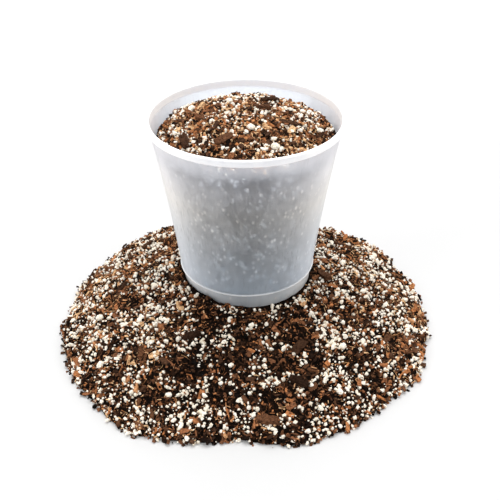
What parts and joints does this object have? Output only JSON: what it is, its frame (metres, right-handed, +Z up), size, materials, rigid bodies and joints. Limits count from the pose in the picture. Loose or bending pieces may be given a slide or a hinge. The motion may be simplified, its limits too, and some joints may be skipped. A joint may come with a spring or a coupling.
{
  "type": "pot of potting compost on a mound of compost",
  "caption": "Frosted plastic plant pot heaped with potting compost, its foot pressed into a round mound of the same bark and perlite mix.",
  "frame": {"origin": "on the ground, directly below the pot's centre line", "axes": "+Z up along the pot's centre line, and the front of the mound faces -Y"},
  "size_m": [0.2116, 0.2156, 0.1302],
  "materials": {
    "frosted_plastic": "frosted, translucent",
    "compost": "damp, crumbly",
    "bark": "rough",
    "perlite": "rough, porous"
  },
  "bodies": {
    "root": {"fill_bark_chip_01": "bark", "fill_bark_chip_02": "bark", "fill_bark_chip_03": "bark", "fill_bark_chip_04": "bark", "fill_bark_chip_05": "bark", "fill_bark_chip_06": "bark", "fill_bark_chip_07": "bark", "fill_perlite_grain_01": "perlite", "fill_perlite_grain_02": "perlite", "fill_perlite_grain_03": "perlite", "fill_perlite_grain_04": "perlite", "fill_perlite_grain_05": "perlite", "fill_perlite_grain_06": "perlite", "fill_perlite_grain_07": "perlite", "mound": "compost", "mound_bark_chip_01": "bark", "mound_bark_chip_02": "bark", "mound_bark_chip_03": "bark", "mound_bark_chip_04": "bark", "mound_bark_chip_05": "bark", "mound_bark_chip_06": "bark", "mound_bark_chip_07": "bark", "mound_bark_chip_08": "bark", "mound_bark_chip_09": "bark", "mound_bark_chip_10": "bark", "mound_bark_chip_11": "bark", "mound_bark_chip_12": "bark", "mound_bark_chip_13": "bark", "mound_bark_chip_14": "bark", "mound_bark_chip_15": "bark", "mound_bark_chip_16": "bark", "mound_bark_chip_17": "bark", "mound_bark_chip_18": "bark", "mound_bark_chip_19": "bark", "mound_bark_chip_20": "bark", "mound_perlite_grain_01": "perlite", "mound_perlite_grain_02": "perlite", "mound_perlite_grain_03": "perlite", "mound_perlite_grain_04": "perlite", "mound_perlite_grain_05": "perlite", "mound_perlite_grain_06": "perlite", "mound_perlite_grain_07": "perlite", "mound_perlite_grain_08": "perlite", "mound_perlite_grain_09": "perlite", "mound_perlite_grain_10": "perlite", "mound_perlite_grain_11": "perlite", "mound_perlite_grain_12": "perlite", "mound_perlite_grain_13": "perlite", "mound_perlite_grain_14": "perlite", "mound_perlite_grain_15": "perlite", "mound_perlite_grain_16": "perlite", "mound_perlite_grain_17": "perlite", "mound_perlite_grain_18": "perlite", "pot": "frosted_plastic", "pot_fill": "compost"}
  },
  "joints": []
}
